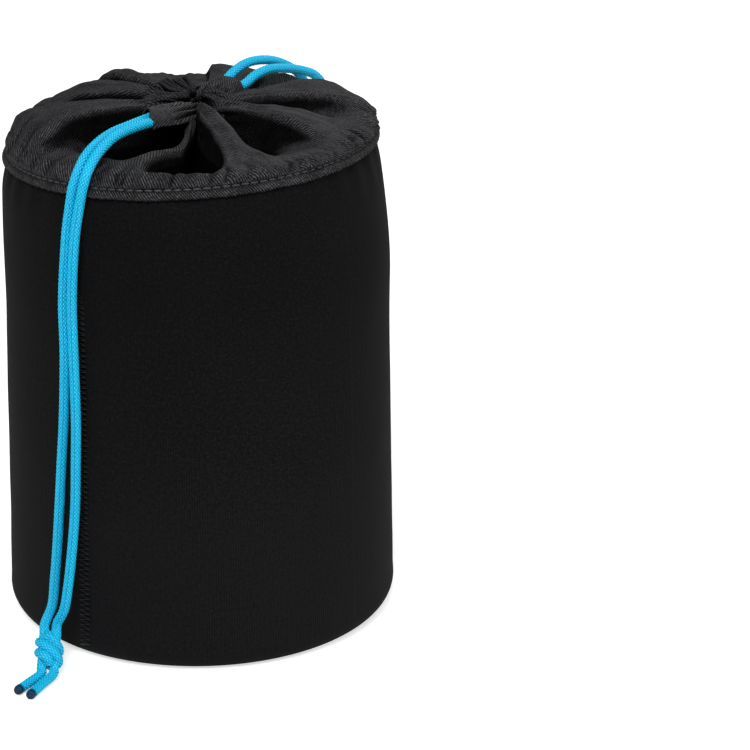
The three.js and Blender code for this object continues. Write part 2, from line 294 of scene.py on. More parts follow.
def neoprene_finish():
    """Jersey on foam: a fine knit with lint on it, with painted light that makes it paler towards the foot."""
    jersey = Pattern("black_neoprene")
    uv, across, along = jersey.cloth()
    wander = jersey.times(jersey.noise(uv, 0.25), 0.5)
    wale = jersey.wave(jersey.math("ADD", jersey.math("DIVIDE", across, KNIT_WALE), wander))
    course = jersey.wave(jersey.math("DIVIDE", along, KNIT_COURSE))
    knit = jersey.mix((wale, 0.7), (course, 0.25))
    lint = jersey.noise(uv, 1.0, 3.0, 0.8)
    fluff = jersey.math("POWER", jersey.times(lint, 1.75), 5.0)
    tone = jersey.mix((knit, 0.1), (fluff, 0.36), (jersey.noise(uv, 0.03), 0.2))
    # Painted light: the tone is raised towards the foot.
    where = jersey.node("ShaderNodeTexCoord", "Object")
    height = jersey.node("ShaderNodeSeparateXYZ", "Z", {"Vector": where})
    tone = jersey.times(tone, jersey.span(height, FOOT_PAINTED_LIGHT, 1.0, end=PAINTED_LIGHT_HEIGHT))
    return jersey.finished({
        "Base Color": jersey.ramp(tone, *NEOPRENE_COLOURS),
        "Roughness": jersey.span(lint, 0.72, 0.92),
        "Normal": jersey.bump(jersey.math("ADD", knit, jersey.times(lint, 0.6)), 0.3, 0.00015),
        "Sheen Weight": 0.012,
        "Sheen Roughness": 0.5,
        "Specular IOR Level": 0.08,
    })


# %% Thread and cord finishes
THREAD_COLOURS = (0.003, 0.003, 0.0035), (0.05, 0.049, 0.053)
CORD_COLOURS = (0.0, 0.15, 0.66), (0.012, 0.87, 1.0)
MELTED_COLOUR = (0.0, 0.035, 0.085, 1.0)
BRAID_AROUND = 9
BRAID_PITCH = 1.35
SEALED_LENGTH = 1.9


def thread_finish():
    thread = Pattern("black_thread")
    twist = thread.noise(thread.node("ShaderNodeTexCoord", "Object"), 2500.0)
    return thread.finished({
        "Base Color": thread.ramp(twist, *THREAD_COLOURS),
        "Normal": thread.bump(twist, 0.4, 0.0001),
        "Roughness": 0.5,
    })


def cord_finish(name, sealed):
    """Braided yarn. On a sealed end the last millimetres before a length of 0 are melted and dark."""
    cord = Pattern(name)
    uv, around, along = cord.cloth()
    turns = cord.times(around, BRAID_AROUND)
    steps = cord.math("DIVIDE", along, BRAID_PITCH)
    yarns = [cord.times(cord.math(way, turns, steps), math.pi) for way in ("ADD", "SUBTRACT")]
    braid = cord.times(*[cord.math("ABSOLUTE", cord.math("SINE", yarn)) for yarn in yarns])
    tone = cord.mix((cord.math("POWER", braid, 0.7), 0.82), (cord.noise(uv, 6.0, 2.0, 0.6), 0.18))
    colour = cord.ramp(tone, *CORD_COLOURS)
    if sealed:
        near_end = cord.span(along, 0.0, 1.0, -SEALED_LENGTH - 0.5, -SEALED_LENGTH + 0.3)
        colours = {"Fac": near_end, "Color1": colour, "Color2": MELTED_COLOUR}
        colour = cord.node("ShaderNodeMixRGB", "Color", colours)
    return cord.finished({
        "Base Color": colour,
        "Normal": cord.bump(braid, 0.8, 0.0002),
        "Roughness": 0.42,
        "Specular IOR Level": 0.3,
    })


TWILL = twill_finish()
NEOPRENE = neoprene_finish()
THREAD = thread_finish()
CORD = cord_finish("blue_cord", sealed=False)
CORD_END = cord_finish("sealed_cord_end", sealed=True)
print("finishes:", [m.name for m in (TWILL, NEOPRENE, THREAD, CORD, CORD_END)])

# %% [markdown]
# ## Mesh helpers
# The cloth pieces are worked out from formulas on regular grids. Modelled by hand they would neither meet at their
# edges nor open with the mouth. One helper turns a grid into a closed shell of cloth with a face, a back and edges,
# and another makes the mesh and its UV map in millimetres.

# %% Mesh helpers
TWILL_SHEET = 0.7


def grid_quads(rows, columns, wrap=False):
    """Quads between the points of a grid that are stored row by row."""
    i, j = np.meshgrid(np.arange(rows - 1), np.arange(columns if wrap else columns - 1), indexing="ij")
    following = (j + 1) % columns
    corners = [i * columns + j, i * columns + following, (i + 1) * columns + following, (i + 1) * columns + j]
    return np.stack([c.ravel() for c in corners], 1)


def make_piece(name, points, faces, uv, finish, normals=None):
    """A smooth mesh object in metres from points in millimetres."""
    mesh = bpy.data.meshes.new(name)
    mesh.from_pydata((np.asarray(points) * MM).tolist(), [], [tuple(int(k) for k in f) for f in faces])
    mesh.polygons.foreach_set("use_smooth", np.ones(len(mesh.polygons), bool))
    layer = mesh.uv_layers.new(name="cloth")
    corner = np.zeros(len(mesh.loops), np.int32)
    mesh.loops.foreach_get("vertex_index", corner)
    layer.data.foreach_set("uv", np.asarray(uv, np.float32)[corner].ravel())
    mesh.materials.append(finish)
    mesh.update()
    if normals is not None:
        mesh.normals_split_custom_set_from_vertices(np.asarray(normals).tolist())
    piece = bpy.data.objects.new(name, mesh)
    scene.collection.objects.link(piece)
    return piece


def cloth_shell(name, face, normal, uv, thickness=TWILL_SHEET, flip=False, keep_normals=False):
    """A closed shell of twill from a grid of points, their normals and their UV map."""
    rows, columns = face.shape[:2]
    count = rows * columns
    index = np.arange(count).reshape(rows, columns)
    quads = [grid_quads(rows, columns), grid_quads(rows, columns)[:, ::-1] + count]
    for edge in (index[0, ::-1], index[-1], index[:, 0], index[::-1, -1]):
        quads.append(np.stack([edge[:-1], edge[1:], edge[1:] + count, edge[:-1] + count], 1))
    quads = np.vstack(quads)
    points = np.concatenate([face, face - normal * thickness]).reshape(-1, 3)
    normals = np.concatenate([normal, -normal]).reshape(-1, 3) if keep_normals else None
    both = np.concatenate([uv, uv]).reshape(-1, 2)
    return make_piece(name, points, quads[:, ::-1] if flip else quads, both, TWILL, normals)


def shade_points(piece, painted_shade_amount):
    """Stores for the twill finish how much painted shade each point gets: 0 to 1, or below 0 where it is painted paler.
    """
    layer = piece.data.attributes.new("painted_shade", "FLOAT", "POINT")
    layer.data.foreach_set("value", np.asarray(painted_shade_amount, np.float32).ravel())


def mount(piece, body, slot, *nodes):
    """The piece rides on a body and stands for the nodes that it replaces; its slot is not used."""
    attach(piece, body)
    if nodes:
        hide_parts(*nodes)


# %% Curves and noise


def round_points(radius, turn, height):
    """Points by radius, angle round the pouch and height."""
    return np.stack(np.broadcast_arrays(radius * np.cos(turn), radius * np.sin(turn), height), -1)


def grid_normals(grid):
    """Normals of a grid of points, from the differences to the neighbours."""
    normal = np.cross(np.gradient(grid, axis=1), np.gradient(grid, axis=0))
    return normal / np.maximum(np.linalg.norm(normal, axis=2, keepdims=True), 1e-9)


def lengths(points, axis=0):
    """Length along lines of points, from the first point of each."""
    return np.insert(np.linalg.norm(np.diff(points, axis=axis), axis=-1).cumsum(axis), 0, 0.0, axis)


def through(x, xs, ys):
    """A smooth curve through a few points, level past both ends."""
    xs, ys = np.asarray(xs, float), np.asarray(ys, float)
    slopes = np.gradient(ys, xs)
    x = np.clip(x, xs[0], xs[-1])
    k = np.clip(np.searchsorted(xs, x) - 1, 0, len(xs) - 2)
    width = xs[k + 1] - xs[k]
    t = (x - xs[k]) / width
    rise = ys[k] * (1 + 2 * t) * (1 - t) ** 2 + ys[k + 1] * t**2 * (3 - 2 * t)
    return rise + width * (slopes[k] * t * (1 - t) ** 2 - slopes[k + 1] * t**2 * (1 - t))


def smooth_step(x, low, high):
    t = np.clip((x - low) / (high - low), 0, 1)
    return t * t * (3 - 2 * t)


def bumps(points, layers):
    """Soft noise at each point: the sum of layers of bumps, each with a height, a size and a seed."""
    points = np.asarray(points)
    total = 0
    for height, size, seed in layers:
        shift = Vector((seed * 17.3, seed * 5.1, seed * 9.7))
        soft = [noise.noise(Vector(p) + shift) for p in points.reshape(-1, 3) / size]
        total = total + height * np.array(soft).reshape(points.shape[:-1])
    return total


# %% [markdown]
# ## Neoprene body
# The body is one panel rolled into a tube and butted at the front left, with its bottom edge turned under in a soft
# round. A lathe would give a perfect cylinder, and the real foam sheet is never perfect: it sags a little, swells
# above the base and dips along the seam. So the panel is a turned profile whose radius is moved by soft noise.

# %% Turned shells
BASE_RADIUS = 63.0
TOP_RADIUS = 60.0
NEOPRENE_HEIGHT = 156.5
SHOULDER_HEIGHT = 14.0
SHOULDER_DRAW = 2.5
RIM_RADIUS = 57.0
RIM_HEIGHT = 159.8
STITCH_HEIGHT = 155.5
GATHER_FOLLOW = 0.5
ASKEW_SIDE = np.array([0.809, 0.588])
ASKEW_TILT = 0.052
ASKEW_DRAW = 0.026
ASKEW_INNER = 42.0
ASKEW_FOOT = 112.0


def wall_radius(z):
    """Outside of the neoprene at a height, in millimetres."""
    shoulder = NEOPRENE_HEIGHT - SHOULDER_HEIGHT
    straight = BASE_RADIUS + (TOP_RADIUS - BASE_RADIUS) * np.minimum(z, shoulder) / shoulder
    return straight - SHOULDER_DRAW * (np.maximum(0, z - shoulder) / SHOULDER_HEIGHT) ** 2


def arc_points(centre, radius, start, end, count):
    turn = np.radians(np.linspace(start, end, count))
    return np.stack([centre[0] + radius * np.cos(turn), centre[1] + radius * np.sin(turn)], 1)


def settled(points, follow=1.0):
    """The sewn ring sits askew: it dips on one side, rises on the other and is drawn in there."""
    points = np.array(points, float)
    radius = np.hypot(points[..., 0], points[..., 1])
    along = points[..., :2] @ ASKEW_SIDE
    share = smooth_step(radius, ASKEW_INNER, RIM_RADIUS) * smooth_step(points[..., 2], ASKEW_FOOT, NEOPRENE_HEIGHT)
    share = share * follow
    points[..., 2] += share * ASKEW_TILT * along
    points[..., :2] -= (share * ASKEW_DRAW * (along + TOP_RADIUS))[..., None] * ASKEW_SIDE
    return points


def turned_shell(name, outline, steps, finish, move=None):
    """A closed outline of radius and height turned round Z, moved by a function of the outline and the angle."""
    rows = len(outline)
    turn = np.linspace(0, 2 * math.pi, steps, endpoint=False)
    radius, height = (np.repeat(outline[:, k : k + 1], steps, 1) for k in (0, 1))
    if move is not None:
        radius, height = move(radius, height, turn[None, :])
    follow = 1 - (1 - GATHER_FOLLOW) * smooth_step(height, STITCH_HEIGHT, RIM_HEIGHT)
    points = settled(round_points(radius, turn, height), follow)
    uv = np.stack(np.broadcast_arrays(turn[None, :] * TOP_RADIUS, lengths(outline)[:, None]), 2)
    last, first = (rows - 1) * steps + np.arange(steps), np.arange(steps)
    closing = np.stack([last, np.roll(last, -1), np.roll(first, -1), first], 1)
    faces = np.vstack([grid_quads(rows, steps, wrap=True), closing])
    return make_piece(name, points.reshape(-1, 3), faces, uv.reshape(-1, 2), finish)


# %% Neoprene body
NEOPRENE_SHEET = 4.5
CORNER_RADIUS = 7.0
CORNER = (BASE_RADIUS - CORNER_RADIUS, CORNER_RADIUS)
FOOT_RADIUS = 52.0
TOP_EDGE = NEOPRENE_HEIGHT - 0.1
SEAM_ANGLE = math.radians(-86.6)
SEAM_DIP = 0.7
SEAM_WIDTH = 3.0
FOAM_RISE = (0.5, 12.0)
FOAM_SAG = ((0.45, 45.0, 1), (0.12, 14.0, 2))
SWELL, SWELL_RISE, SWELL_FALL = 0.8, (95.0, 130.0), (140.0, 154.0)
FLUTE, FLUTES, FLUTE_RISE = 0.25, 31, (138.0, 152.0)
BODY_STEPS = 384

wall_heights = np.concatenate([np.linspace(CORNER_RADIUS + 4, 140, 40), np.linspace(143, NEOPRENE_HEIGHT - 1.2, 8)])
body_outline = np.vstack([
    [(FOOT_RADIUS, 0.4), (FOOT_RADIUS + 1.0, 0.02)],
    arc_points(CORNER, CORNER_RADIUS, -90, 0, 12),
    np.stack([wall_radius(wall_heights), wall_heights], 1),
    [(wall_radius(NEOPRENE_HEIGHT) - inward, TOP_EDGE) for inward in (1.2, 3.3)],
    np.stack([wall_radius(wall_heights) - NEOPRENE_SHEET, wall_heights], 1)[::-3],
    arc_points(CORNER, CORNER_RADIUS - NEOPRENE_SHEET, 0, -90, 6),
    [(FOOT_RADIUS + 0.4, NEOPRENE_SHEET), (FOOT_RADIUS, NEOPRENE_SHEET - 0.4)],
])


def body_sag(radius, height, turn):
    """Soft unevenness of the foam, a dip along the seam and shallow flutes under the collar."""
    outward = smooth_step(height, *FOAM_RISE)
    place = round_points(TOP_RADIUS, turn, height)
    off_seam = np.angle(np.exp(1j * (turn - SEAM_ANGLE))) * TOP_RADIUS
    dip = SEAM_DIP * np.exp(-((off_seam / SEAM_WIDTH) ** 2)) * outward
    swell = SWELL * smooth_step(height, *SWELL_RISE) * (1 - smooth_step(height, *SWELL_FALL))
    flute = FLUTE * np.cos(turn * FLUTES + 2 * np.sin(turn * 3)) * smooth_step(height, *FLUTE_RISE)
    return radius + outward * (bumps(place, FOAM_SAG) + flute + swell) - dip, height


body = turned_shell("neoprene_body", body_outline, BODY_STEPS, NEOPRENE, body_sag)
mount(body, "pouch", "neoprene", "body_panel")

# %% Base round
DISC_RADIUS = FOOT_RADIUS - 0.3
DISC_EDGE = 0.8
BASE_STEPS = 128

edge_radius = DISC_RADIUS - DISC_EDGE
base_outline = np.vstack([
    [(0.5, 0.25), (20.0, 0.2), (40.0, 0.15), (DISC_RADIUS - 2.0, 0.1)],
    arc_points((edge_radius, 0.9), DISC_EDGE, -90, 0, 4),
    arc_points((edge_radius, NEOPRENE_SHEET - DISC_EDGE), DISC_EDGE, 0, 90, 4),
    [(40.0, NEOPRENE_SHEET), (20.0, NEOPRENE_SHEET + 0.1), (0.5, NEOPRENE_SHEET + 0.1)],
])
base = turned_shell("base_round", base_outline, BASE_STEPS, NEOPRENE)
mount(base, "pouch", "neoprene", "base_disc")
print("body:", len(body.data.polygons), "faces, base:", len(base.data.polygons))

# %% [markdown]
# ## Collar band
# The lower edge of the collar is folded under and topstitched to the neoprene. Below the stitch line the fold makes
# a thick little edge, and above it the gathers make a puckered rim. It is a turned profile again, with puckers
# from noise round the rim, and the gathered folds further on start from the same puckers. Modelling the band and
# the folds as one mesh would be nearer to the real cloth, but the folds move when the mouth opens and the band stays.

# %% Puckers
PUFF_WIDTH, FINE_WIDTH = 8.0, 3.2
PUCKER_SIZE = 1.25
PUCKER_OUT, PUCKER_UP = 0.75, 0.6
# How strong the painted shade in the dents between the puckers is.
DENT_PAINTED_SHADE = 0.75


def crease_noise(turn, radius, width, length, seed):
    """Noise in creases that run to the middle: their width round the rim and their length, in millimetres."""
    turn, radius = np.broadcast_arrays(turn, radius)
    reach = RIM_RADIUS / width
    flat = np.stack([np.cos(turn) * reach, np.sin(turn) * reach, radius / length + seed * 7.7], -1).reshape(-1, 3)
    return np.array([noise.noise(Vector(p)) for p in flat]).reshape(turn.shape)


def pucker(turn):
    """How far the gathers push the rim out, from about -1 to 1, at an angle round the pouch."""
    puffs = np.abs(crease_noise(turn, 0.0, PUFF_WIDTH, 1.0, 3))
    fine = np.abs(crease_noise(turn, 0.0, FINE_WIDTH, 1.0, 4))
    return 2.4 * puffs**0.8 + 1.5 * fine - 1.1


def rim_shade(turn):
    """How much painted shade falls in the dents between the puckers, from 0 to 1."""
    return DENT_PAINTED_SHADE * smooth_step(-pucker(turn), 0.15, 1.0)


# %% Collar band
STITCH_STEP = 2.9
STITCH_PULL = 0.26
BAND_STEPS = 768
BAND_FOOT = 152.2
BAND_HEIGHTS = [BAND_FOOT, 152.8, 153.6, 154.6, STITCH_HEIGHT, 156.3, 157.2, 158.2, 159.2, RIM_HEIGHT]
BAND_RADII = [59.3, 60.0, 60.3, 59.95, 58.75, 59.3, 59.3, 58.7, 57.9, RIM_RADIUS]
INNER_LIP = [(56.3, 159.7), (55.7, 159.0), (55.5, 158.0), (55.8, 157.2), (56.6, 156.9)]
BAND_GAP = 0.45
EDGE_WAVE, EDGE_OUT, EDGE_UP = 7.0, 0.2, 0.35
# Width of the stitch groove, and how strongly painted shade darkens the groove and the folded edge.
GROOVE_WIDTH, GROOVE_PAINTED_SHADE, EDGE_PAINTED_SHADOW = 0.55, 0.7, 0.9


def band_face(height):
    """Outside of the band at a height: the folded edge, the dip at the stitches and the rim above them."""
    return through(height, BAND_HEIGHTS, BAND_RADII)


def band_pucker(radius, height, turn):
    """Puckers that grow from the stitches to the rim, and a slightly wavy folded edge below them."""
    above = smooth_step(height, STITCH_HEIGHT - 0.2, STITCH_HEIGHT + 2.4) * PUCKER_SIZE * pucker(turn)
    below = 1 - smooth_step(height, BAND_FOOT + 0.3, STITCH_HEIGHT)
    edge = crease_noise(turn, 0.0, EDGE_WAVE, 1.0, 5)
    stitch_pull = STITCH_PULL * np.cos(turn * 2 * math.pi * band_face(STITCH_HEIGHT) / STITCH_STEP)
    radius = radius + PUCKER_OUT * above + below * (EDGE_OUT * edge + stitch_pull)
    return radius, height + PUCKER_UP * above + EDGE_UP * below * edge


band_heights = np.concatenate([np.linspace(BAND_FOOT, 155.0, 8), np.linspace(155.2, RIM_HEIGHT, 20)])
inner_heights = np.linspace(156.4, 152.9, 6)
band_outline = np.vstack([
    np.stack([band_face(band_heights), band_heights], 1),
    INNER_LIP,
    np.stack([wall_radius(inner_heights) + BAND_GAP, inner_heights], 1),
])
band = turned_shell("collar_rim", band_outline, BAND_STEPS, TWILL, band_pucker)
mount(band, "pouch", "twill", "collar_band")
outline_height = band_outline[:, 1:]
band_turn = np.linspace(0, 2 * math.pi, BAND_STEPS, endpoint=False)
# Painted shade in the dents of the rim and in the stitch groove, and a painted shadow under the folded edge.
band_painted_dent_shade = smooth_step(outline_height, STITCH_HEIGHT + 0.3, STITCH_HEIGHT + 2.5) * rim_shade(band_turn)
painted_groove_shade = GROOVE_PAINTED_SHADE * np.exp(-(((outline_height - STITCH_HEIGHT) / GROOVE_WIDTH) ** 2))
painted_edge_shadow = EDGE_PAINTED_SHADOW * (1 - smooth_step(outline_height, BAND_FOOT + 0.2, BAND_FOOT + 0.9))
shade_points(band, np.maximum(band_painted_dent_shade, np.maximum(painted_groove_shade, painted_edge_shadow)))
print("collar band:", len(band.data.polygons), "faces")

# %% [markdown]
# ## Gathered collar
# Above the rim the twill is drawn to the middle in eight folds with pockets between them. Simulated cloth would fold
# where it likes, and the mouth could not open afterwards. So each fold is a formula: a ridge line and a pocket line
# run from the rim to the middle, and a strap with steep, overhanging sides joins them. Twist, creases and pleats are
# added, and they leave the pocket lines alone, because neighbouring halves have to meet there in every pose. A short
# skirt tucked down into the rim keeps the seam shut when the mouth opens.

# %% Fold lines
FOLDS = 8
HALF_FOLD = math.radians(22.5)
FIRST_RIDGE = math.radians(-76.5)
RIDGE_RADII = [2, 8, 14, 20, 28, 36, 44, 50, 54, RIM_RADIUS]
RIDGE_HEIGHT = {
    1: [5.0, 4.4, 2.4, 1.2, 0.7, 0.4, 0.2, 0.3, 0.2, 0],
    2: [7.0, 7.4, 7.2, 6.6, 5.6, 4.0, 2.0, 0.8, 0.4, 0],
    3: [7.0, 7.4, 7.6, 7.6, 7.4, 6.6, 4.8, 2.6, 1.4, 0],
    4: [7.0, 7.6, 8.2, 8.8, 9.0, 8.6, 7.6, 5.8, 3.2, 0],
    5: [6.5, 6.4, 5.0, 4.4, 5.2, 6.2, 6.9, 6.2, 4.0, 0],
    6: [7.0, 7.6, 8.4, 8.6, 8.6, 8.2, 7.8, 6.4, 4.2, 0],
    7: [7.0, 7.6, 8.4, 8.6, 8.4, 7.8, 6.4, 4.2, 2.2, 0],
    8: [7.0, 7.4, 8.2, 9.0, 9.2, 8.8, 7.8, 6.2, 4.4, 0],
}
RIDGE_TWIST = {
    1: [10, 17, 19, 18.5, 15, 8, 2.5, 0, 0, 0],
    2: [0, -1, -2, -2.5, -2, -1, 0, 0, 0, 0],
    3: [0, 2, 3, 3, 2, 1, 0, 0, 0, 0],
    4: [0] * 10,
    5: [0, 0, 0, 3, 9, 13, 14, 14, 10, 4],
    6: [0, 4, 8, 11, 12.5, 13, 13, 12.5, 9, 3],
    7: [0, -6, -12, -15, -16, -16, -15, -12, -6, 0],
    8: [0, -3, -4, -4, -3, -2, -1, 0, 0, 0],
}
BROAD_STRAP = [0.8, 2.6, 4.4, 5.8, 7.2, 8.4, 9.4, 10.0, 10.5, 11.0]
STRAP_WIDTH = {
    1: [0.8, 1.8, 2.4, 2.8, 3.2, 3.6, 5.0, 7.5, 9.5, 11.0],
    2: [0.8, 2.4, 3.6, 4.4, 5.2, 6.0, 7.5, 9.0, 10.0, 11.0],
}
PUFFED_STRAP = [0.8, 2.6, 4.4, 6.5, 9.5, 12.5, 15.0, 17.0, 18.5, 19.0]
PUFFED_POCKETS = (3, 4, 5, 6, 7)
POCKET_RADII = [2, 8, 14, 20, 27, 33, 40, 46, 50, 53.5, RIM_RADIUS]
POCKET_HEIGHT = {
    1: [-4, -8, -10.5, -11.5, -12, -12, -11.5, -9.5, -6, -1.6, 0],
    2: [-4, -7, -9, -9.5, -9, -5.4, -1.6, 0.0, 0.2, -0.2, 0],
    3: [-4, -8, -9, -8, -5, -2, 1, 2.5, 2.8, 2.0, 0],
    4: [-4, -8, -10, -10, -8, -4, 0, 2.2, 2.8, 2.0, 0],
    5: [-4, -8, -9, -8, -5, -1, 1.5, 2.6, 2.8, 2.0, 0],
    6: [-4, -8, -10, -9, -7, -4, -1, 1.2, 2.0, 1.6, 0],
    7: [-4, -8, -10, -9, -6, -3, -0.5, 0.6, 0.8, 0.6, 0],
    8: [-4, -8, -10.5, -11.5, -11.5, -9.5, -5, -1.2, 0, 0.2, 0],
}
WALL_RUN = 3.8
CROWN = 0.9
SLOPED_STRAP = {(6, -1): (2.9, 7.5), (5, -1): (1.6, 14.0), (7, 1): (2.6, 12.0), (6, 1): (2.2, 8.0)}
OVERHANG = 2.3
FINE_STEPS = 260


def ridge_angle(fold):
    return FIRST_RIDGE + (fold - 1) * 2 * HALF_FOLD


def ridge_twist(fold, radius):
    """How far round the pouch a fold's ridge leans at each radius."""
    return np.radians(through(radius, RIDGE_RADII, RIDGE_TWIST[fold]))[:, None]


def ridge_line(fold, radius):
    return RIM_HEIGHT + through(radius, RIDGE_RADII, RIDGE_HEIGHT[fold])[:, None]


def half_grid(fold, side, radius, columns):
    """Rows of points from the ridge to the pocket, evenly spaced by length of cloth."""
    pocket_number = fold if side > 0 else (fold - 2) % FOLDS + 1
    widths = PUFFED_STRAP if pocket_number in PUFFED_POCKETS else STRAP_WIDTH.get(fold, BROAD_STRAP)
    twist = ridge_twist(fold, radius)
    span = radius[:, None] * (HALF_FOLD - side * twist)
    ridge = ridge_line(fold, radius)
    pocket = RIM_HEIGHT + through(radius, POCKET_RADII, POCKET_HEIGHT[pocket_number])[:, None]
    strap = np.minimum(through(radius, RIDGE_RADII, widths)[:, None], 0.75 * span)
    run = np.minimum(WALL_RUN, 0.95 * (span - strap))
    out = span * np.linspace(0, 1, FINE_STEPS)
    lift = 1 - smooth_step(out, strap - 0.6 * run, strap + run)
    inside = smooth_step(RIM_RADIUS - radius, 6.0, 20.0)[:, None]
    sloped = (fold, side) in SLOPED_STRAP
    drop, slope_run = SLOPED_STRAP.get((fold, side), (CROWN, strap))
    near_rim = smooth_step(RIM_RADIUS - radius, 0.5, 7.0)[:, None] if sloped else inside
    top = ridge - drop * near_rim * smooth_step(out, 0, slope_run)
    height = pocket + (top - pocket) * lift
    overhang = np.minimum(np.minimum(OVERHANG, 0.35 * strap), 0.28 * np.maximum(ridge - pocket - 1.5, 0))
    out = out - overhang * inside * 4 * lift * (1 - lift)
    length = np.insert(np.hypot(np.diff(out, axis=1), np.diff(height, axis=1)).cumsum(1), 0, 0.0, 1)
    grid = []
    for k in range(len(radius)):
        even = np.linspace(0, length[k, -1], columns)
        turn = ridge_angle(fold) + twist[k] + side * np.interp(even, length[k], out[k]) / radius[k]
        grid.append(round_points(radius[k], turn, np.interp(even, length[k], height[k])))
    return np.array(grid)


# %% Creases
MOUTH_PLEATS, PLEAT_WANDER, PLEAT_DEPTH, PLEAT_REACH = 5.0, 0.9, 0.55, 17.0
LONG_CREASES = ((0.8, 8.0, 26.0, 6), (0.35, 3.5, 15.0, 7))
CLOTH_DENTS = ((0.9, 15.0, 20), (0.4, 6.0, 30))
RIM_REACH = 5.0


def creased(fold, points, normal, share):
    """The fold's points with creases: pleats at the mouth, long creases on the straps and puckers at the rim."""
    radius = np.hypot(points[..., 0], points[..., 1])
    turn = np.arctan2(points[..., 1], points[..., 0])
    inside = smooth_step(RIM_RADIUS - radius, 1.0, 10.0)
    wander = PLEAT_WANDER * crease_noise(turn, radius, 10.0, 12.0, 10 + fold)
    pleats = np.cos(2 * math.pi * (MOUTH_PLEATS * share + wander))
    pleats = pleats * PLEAT_DEPTH * np.exp(-((radius / PLEAT_REACH) ** 4)) * smooth_step(radius, 2.0, 7.0)
    creases = sum(h * crease_noise(turn, radius, width, length, seed) for h, width, length, seed in LONG_CREASES)
    height = pleats + (creases + bumps(points, CLOTH_DENTS)) * inside * smooth_step(radius, 3.0, 16.0)
    height = height * (1 - share**6)
    rim = np.exp(-(((RIM_RADIUS - radius) / RIM_REACH) ** 2))[..., None]
    outward = round_points(PUCKER_OUT, turn, PUCKER_UP)
    return points + normal * height[..., None] * (1 - rim) + outward * rim * PUCKER_SIZE * pucker(turn)[..., None]


# %% Half folds
ROWS, COLUMNS = 112, 60
MOUTH = 1.8
SKIRT_OUT = np.array([0.8, 0.5])
SKIRT_DROP = np.array([3.6, 1.7])
# Where and how strongly painted shade darkens a half fold.
POCKET_SHADE, STEEP_SHADE, STRAP_SHADE, STRAP_PAINTED_SHADE = (0.5, 5.0), (0.45, 0.88), (0.9, 3.2), 0.9
DENT_REACH = 6.0
HALF_CLOTH = 22.8


def mirrored(points, axis):
    return points - 2 * (points @ axis)[..., None] * axis


def fold_face(fold, side, radius, across):
    """The plain grid of a half fold, its creased points and their normals; across points out through the pocket."""
    grid, other = (half_grid(fold, way, radius, COLUMNS) for way in (side, -side))
    for half in (grid, other):
        half[: len(SKIRT_DROP), :, 2] -= SKIRT_DROP[:, None]
    share = np.abs(np.linspace(-1, COLUMNS, COLUMNS + 2)) / (COLUMNS - 1)
    share = np.minimum(share, 2 - share)[None, :]
    wide = np.concatenate([other[:, 1:2], grid, mirrored(grid[:, -2:-1], across)], 1)
    wide = creased(fold, wide, grid_normals(wide) * side, share)
    wide[:, -1] = mirrored(wide[:, -3], across)
    wide = settled(wide, GATHER_FOLLOW)
    normal = (grid_normals(wide) * side)[:, 1:-1]
    normal[:, -1] -= (normal[:, -1] @ across)[:, None] * across
    return grid, wide[:, 1:-1], normal / np.linalg.norm(normal, axis=2, keepdims=True)


def fold_shade(face, normal, radius):
    """How much painted shade a half fold gets: below the rim, under its strap and in the dents of the rim."""
    below_rim = smooth_step(RIM_HEIGHT - face[..., 2], *POCKET_SHADE)
    steep = 1 - smooth_step(normal[..., 2], *STEEP_SHADE)
    below_strap = smooth_step(face[:, :1, 2] - face[..., 2], *STRAP_SHADE) * steep
    turn = np.arctan2(face[..., 1], face[..., 0])
    fold_painted_dent_shade = rim_shade(turn) * np.exp(-(((RIM_RADIUS - radius) / DENT_REACH) ** 2))[:, None]
    return np.maximum(np.maximum(below_rim, STRAP_PAINTED_SHADE * below_strap), fold_painted_dent_shade)


def half_fold(fold, side):
    """One half of a fold, from its ridge to its pocket, as a closed shell of cloth."""
    hand = "right" if side > 0 else "left"
    valley = FIRST_RIDGE + ((fold - 1) * 2 + side) * HALF_FOLD
    across = np.array([-math.sin(valley), math.cos(valley), 0]) * side
    radius = RIM_RADIUS + (MOUTH - RIM_RADIUS) * np.linspace(0, 1, ROWS - len(SKIRT_OUT)) ** 1.1
    radius = np.concatenate([RIM_RADIUS + SKIRT_OUT, radius])
    grid, face, normal = fold_face(fold, side, radius, across)
    cloth_u = (fold - 1) * 2 * HALF_CLOTH + side * lengths(grid, 1)
    uv = np.stack(np.broadcast_arrays(cloth_u, lengths(grid[:, 0])[:, None]), 2)
    thickness = TWILL_SHEET * (0.2 + 0.8 * smooth_step(radius, 1.0, 9.0))[:, None, None]
    piece = cloth_shell(f"collar_fold_{fold}_{hand}", face, normal, uv, thickness, flip=side < 0, keep_normals=True)
    # Painted shade for both faces of the shell.
    shade = fold_shade(face, normal, radius)
    shade_points(piece, [shade, shade])
    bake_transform(piece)
    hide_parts(f"collar_tuck_{fold}_{hand}")
    return piece


for fold in range(1, FOLDS + 1):
    for side in (1, -1):
        half = half_fold(fold, side)
        if side > 0:
            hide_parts(f"collar_gore_{fold}")
print("collar:", 2 * FOLDS, "half folds, each of", len(half.data.polygons), "faces")

# %% [markdown]
# ## Hem
# The hem of the collar is drawn up on the cord, so a fold ends at the mouth in a fan of tight little pleats. They are
# too narrow for the grid of a whole fold, so the folds whose ends can be seen beside the cords get a fan of their
# own: a patch that starts in the face of the strap, rises over it and runs in rounded pleats with sharp valleys to
# the mouth.

